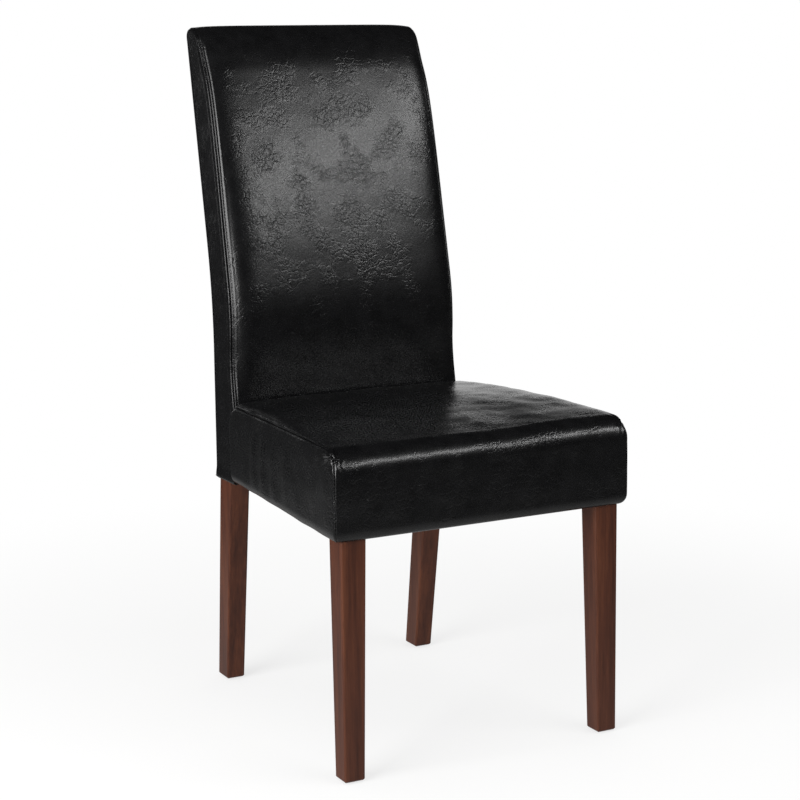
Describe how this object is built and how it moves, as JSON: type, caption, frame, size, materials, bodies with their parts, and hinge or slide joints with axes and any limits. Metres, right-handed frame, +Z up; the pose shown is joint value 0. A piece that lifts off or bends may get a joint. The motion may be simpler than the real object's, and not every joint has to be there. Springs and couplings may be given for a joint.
{
  "type": "parsons chair",
  "caption": "High-back dining chair, upholstered in black leather over a tenoned wooden frame, with a waterfall seat front, a back that rolls over the top, and tapered stained legs.",
  "frame": {"origin": "on the floor, on the centre plane, half way between the front of the seat and the rearmost point of the back", "axes": "+Z up, -Y towards the front of the chair, +X to the right as seen from the front"},
  "size_m": [0.466, 0.5912, 1.02],
  "materials": {
    "black_leather": "fine pebble grain, soft gloss",
    "stained_wood": "dark brown stain, satin lacquer",
    "frame_wood": "planed, bare",
    "back_board": "smooth pressed board",
    "foam_and_wadding": "open-cell foam and fibre wadding",
    "webbing": "woven elastic webbing",
    "dust_cloth": "matte non-woven cloth",
    "steel_fixings": "zinc plated",
    "glide_plastic": "matte"
  },
  "bodies": {
    "root": {"back_bottom_rail": "frame_wood", "back_cover_panel": "black_leather", "back_cover_side_left": "black_leather", "back_cover_side_right": "black_leather", "back_foam": "foam_and_wadding", "back_middle_rail": "frame_wood", "back_rear_board": "back_board", "back_rear_wadding": "foam_and_wadding", "back_side_wadding_left": "foam_and_wadding", "back_side_wadding_right": "foam_and_wadding", "back_top_rail": "frame_wood", "back_webbing": "webbing", "corner_block_front_left": "frame_wood", "corner_block_front_right": "frame_wood", "corner_block_rear_left": "frame_wood", "corner_block_rear_right": "frame_wood", "corner_block_screws": "steel_fixings", "dust_cover": "dust_cloth", "dust_cover_staples": "steel_fixings", "foot_glide_front_left": "glide_plastic", "foot_glide_front_right": "glide_plastic", "foot_glide_rear_left": "glide_plastic", "foot_glide_rear_right": "glide_plastic", "front_leg_left": "stained_wood", "front_leg_right": "stained_wood", "leg_hanger_bolts": "steel_fixings", "leg_nuts": "steel_fixings", "leg_washers": "steel_fixings", "rear_post_left": "stained_wood", "rear_post_right": "stained_wood", "seat_cover_side_left": "black_leather", "seat_cover_side_right": "black_leather", "seat_cover_top": "black_leather", "seat_foam": "foam_and_wadding", "seat_front_padding": "foam_and_wadding", "seat_front_rail": "frame_wood", "seat_rear_rail": "frame_wood", "seat_side_padding_left": "foam_and_wadding", "seat_side_padding_right": "foam_and_wadding", "seat_side_rail_left": "frame_wood", "seat_side_rail_right": "frame_wood", "seat_webbing_crosswise": "webbing", "seat_webbing_lengthwise": "webbing"}
  },
  "joints": []
}
